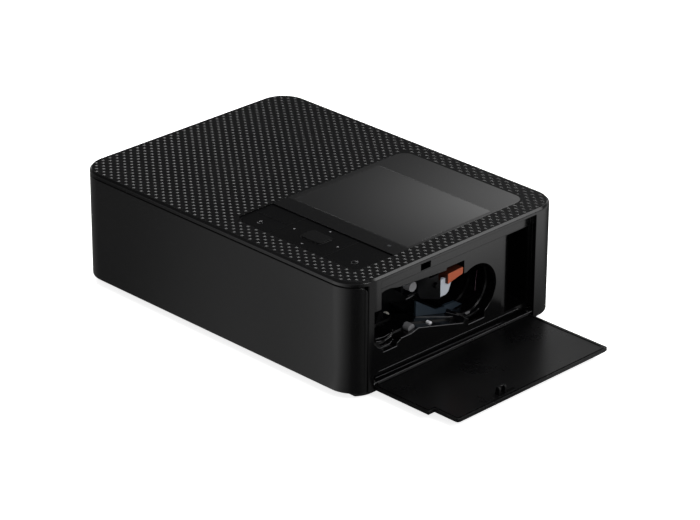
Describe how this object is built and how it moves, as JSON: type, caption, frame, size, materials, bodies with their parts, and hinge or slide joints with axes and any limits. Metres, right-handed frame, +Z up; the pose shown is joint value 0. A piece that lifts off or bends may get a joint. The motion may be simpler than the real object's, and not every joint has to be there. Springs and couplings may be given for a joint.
{
  "type": "compact photo printer",
  "caption": "Low black photo printer with rounded corners, a screen and keys on top, a fold-down front cover and an open ink door on its side.",
  "frame": {"origin": "on the floor below the middle of the case, without the open ink door", "axes": "+X along the long front towards the ink door, +Y from the front cover to the back, +Z up"},
  "size_m": [0.2284, 0.133, 0.0576],
  "materials": {
    "case_plastic": "fine satin",
    "cover_plastic": "satin",
    "pan_plastic": "matt",
    "deck_film": "embossed with small slanted facets",
    "gloss_black": "gloss",
    "key_plastic": "soft matt",
    "screen_glass": "smoked gloss",
    "screen_module": "satin",
    "lens": "clear moulded",
    "board": "solder mask",
    "sheet_steel": "plain sheet",
    "plated_steel": "blue-grey plated",
    "turned_steel": "ground",
    "motor_steel": "drawn can",
    "sink_metal": "extruded",
    "head_ceramic": "glazed ceramic",
    "brass": "turned",
    "foot_rubber": "matt",
    "roller_rubber": "ground",
    "gear_plastic": "natural",
    "white_plastic": "natural",
    "orange_plastic": "satin",
    "frame_plastic": "matt",
    "block_plastic": "matt"
  },
  "bodies": {
    "chassis": {"base_pan": "pan_plastic", "rubber_feet": "foot_rubber", "case_screws": "sheet_steel", "case_shell": "case_plastic", "front_frame": "frame_plastic", "deck_plate": "deck_film", "control_fascia": "gloss_black", "lcd_window": "screen_glass", "lcd_panel": "screen_module", "indicator_lens": "lens", "key_board": "board", "main_board": "board", "card_reader": "sheet_steel", "large_data_socket": "sheet_steel", "small_data_socket": "sheet_steel", "power_inlet": "pan_plastic", "ink_bay_panel": "case_plastic", "lever_pin": "turned_steel", "lever_spring": "turned_steel", "pivot_block": "block_plastic", "bay_studs": "white_plastic", "front_cradle": "frame_plastic", "rear_cradle": "frame_plastic", "left_side_plate": "sheet_steel", "right_side_plate": "plated_steel", "top_brace": "sheet_steel", "shaft_bushes": "gear_plastic", "head_pivot_rod": "turned_steel", "feed_motor": "motor_steel", "ribbon_motor": "motor_steel", "tray_guide": "frame_plastic", "paper_guide": "frame_plastic", "fan_frame": "frame_plastic"},
    "front_cover": {"front_cover": "cover_plastic"},
    "ink_door": {"ink_door": "cover_plastic"},
    "menu_key": {"menu_key": "key_plastic"},
    "back_key": {"back_key": "key_plastic"},
    "cursor_key": {"cursor_key": "key_plastic"},
    "ok_key": {"ok_key": "key_plastic"},
    "power_key": {"power_key": "key_plastic"},
    "eject_lever": {"eject_lever": "orange_plastic", "cassette_latch": "white_plastic"},
    "print_head": {"print_head": "head_ceramic", "heat_sink": "sink_metal", "head_arms": "sheet_steel"},
    "platen": {"platen_roller": "roller_rubber", "platen_gear": "gear_plastic"},
    "capstan": {"capstan": "turned_steel", "capstan_gear": "gear_plastic"},
    "pinch_roller": {"pinch_roller": "turned_steel"},
    "pickup": {"pickup_shaft": "turned_steel", "pickup_tyres": "roller_rubber", "pickup_gear": "gear_plastic"},
    "front_idler": {"front_idler": "gear_plastic"},
    "rear_idler": {"rear_idler": "gear_plastic"},
    "feed_pinion": {"feed_pinion": "brass"},
    "take_up": {"take_up_hub": "white_plastic"},
    "ribbon_pinion": {"ribbon_pinion": "brass"},
    "supply": {"supply_hub": "white_plastic"},
    "fan_rotor": {"fan_rotor": "frame_plastic"}
  },
  "joints": [
    {"name": "front_cover_hinge", "type": "hinge", "parent": "chassis", "child": "front_cover", "pos_m": [0, -0.062, 0.005], "axis": [1, 0, 0], "range_deg": [0, 90]},
    {"name": "ink_door_hinge", "type": "hinge", "parent": "chassis", "child": "ink_door", "pos_m": [0.08847, 0, 0.00617], "axis": [0, -1, 0], "range_deg": [0, 90]},
    {"name": "menu_key_press", "type": "slide", "parent": "chassis", "child": "menu_key", "axis": [0, 0, -1], "range_m": [0, 0.0004], "stiffness_N_per_m": 400, "springref_m": -0.001},
    {"name": "back_key_press", "type": "slide", "parent": "chassis", "child": "back_key", "axis": [0, 0, -1], "range_m": [0, 0.0004], "stiffness_N_per_m": 400, "springref_m": -0.001},
    {"name": "cursor_key_press", "type": "slide", "parent": "chassis", "child": "cursor_key", "axis": [0, 0, -1], "range_m": [0, 0.0004], "stiffness_N_per_m": 400, "springref_m": -0.001},
    {"name": "ok_key_press", "type": "slide", "parent": "chassis", "child": "ok_key", "axis": [0, 0, -1], "range_m": [0, 0.0004], "stiffness_N_per_m": 400, "springref_m": -0.001},
    {"name": "power_key_press", "type": "slide", "parent": "chassis", "child": "power_key", "axis": [0, 0, -1], "range_m": [0, 0.0004], "stiffness_N_per_m": 400, "springref_m": -0.001},
    {"name": "eject_lever_pivot", "type": "hinge", "parent": "chassis", "child": "eject_lever", "pos_m": [0.066, 0, 0.0412], "axis": [0, -1, 0], "range_deg": [0, 4.5], "stiffness_Nm_per_rad": 0.02, "springref_deg": -11.46},
    {"name": "print_head_pivot", "type": "hinge", "parent": "chassis", "child": "print_head", "pos_m": [0, -0.0243, 0.026], "axis": [-1, 0, 0], "range_deg": [0, 7], "stiffness_Nm_per_rad": 0.05, "springref_deg": -11.46},
    {"name": "platen_spin", "type": "hinge", "parent": "chassis", "child": "platen", "pos_m": [0, -0.0154, 0.0146], "axis": [1, 0, 0], "continuous": true},
    {"name": "pickup_spin", "type": "hinge", "parent": "chassis", "child": "pickup", "pos_m": [0, -0.02696, 0.01643], "axis": [1, 0, 0], "continuous": true},
    {"name": "front_idler_spin", "type": "hinge", "parent": "chassis", "child": "front_idler", "pos_m": [0, -0.00071, 0.01414], "axis": [1, 0, 0], "continuous": true},
    {"name": "rear_idler_spin", "type": "hinge", "parent": "chassis", "child": "rear_idler", "pos_m": [0, 0.01698, 0.01358], "axis": [1, 0, 0], "continuous": true},
    {"name": "capstan_spin", "type": "hinge", "parent": "chassis", "child": "capstan", "pos_m": [0, 0.03198, 0.01311], "axis": [1, 0, 0], "continuous": true},
    {"name": "feed_pinion_spin", "type": "hinge", "parent": "chassis", "child": "feed_pinion", "pos_m": [0, 0.0148, 0.02599], "axis": [1, 0, 0], "continuous": true},
    {"name": "pinch_roller_spin", "type": "hinge", "parent": "chassis", "child": "pinch_roller", "pos_m": [0, 0.03198, 0.00646], "axis": [1, 0, 0], "continuous": true},
    {"name": "take_up_spin", "type": "hinge", "parent": "chassis", "child": "take_up", "pos_m": [0, -0.0402, 0.031], "axis": [1, 0, 0], "continuous": true},
    {"name": "ribbon_pinion_spin", "type": "hinge", "parent": "chassis", "child": "ribbon_pinion", "pos_m": [0, -0.02653, 0.03292], "axis": [1, 0, 0], "continuous": true},
    {"name": "supply_spin", "type": "hinge", "parent": "chassis", "child": "supply", "pos_m": [0, 0.0146, 0.0275], "axis": [1, 0, 0], "continuous": true},
    {"name": "fan_spin", "type": "hinge", "parent": "chassis", "child": "fan_rotor", "pos_m": [0.038, 0.0593, 0.035], "axis": [0, 1, 0], "continuous": true}
  ],
  "couplings": [
    {"joint": "pickup_spin", "follows": "platen_spin", "ratio": -1.0526},
    {"joint": "front_idler_spin", "follows": "platen_spin", "ratio": -0.68966},
    {"joint": "rear_idler_spin", "follows": "platen_spin", "ratio": 0.66667},
    {"joint": "capstan_spin", "follows": "platen_spin", "ratio": -1},
    {"joint": "feed_pinion_spin", "follows": "platen_spin", "ratio": -1.6667},
    {"joint": "ribbon_pinion_spin", "follows": "take_up_spin", "ratio": -3.6}
  ]
}
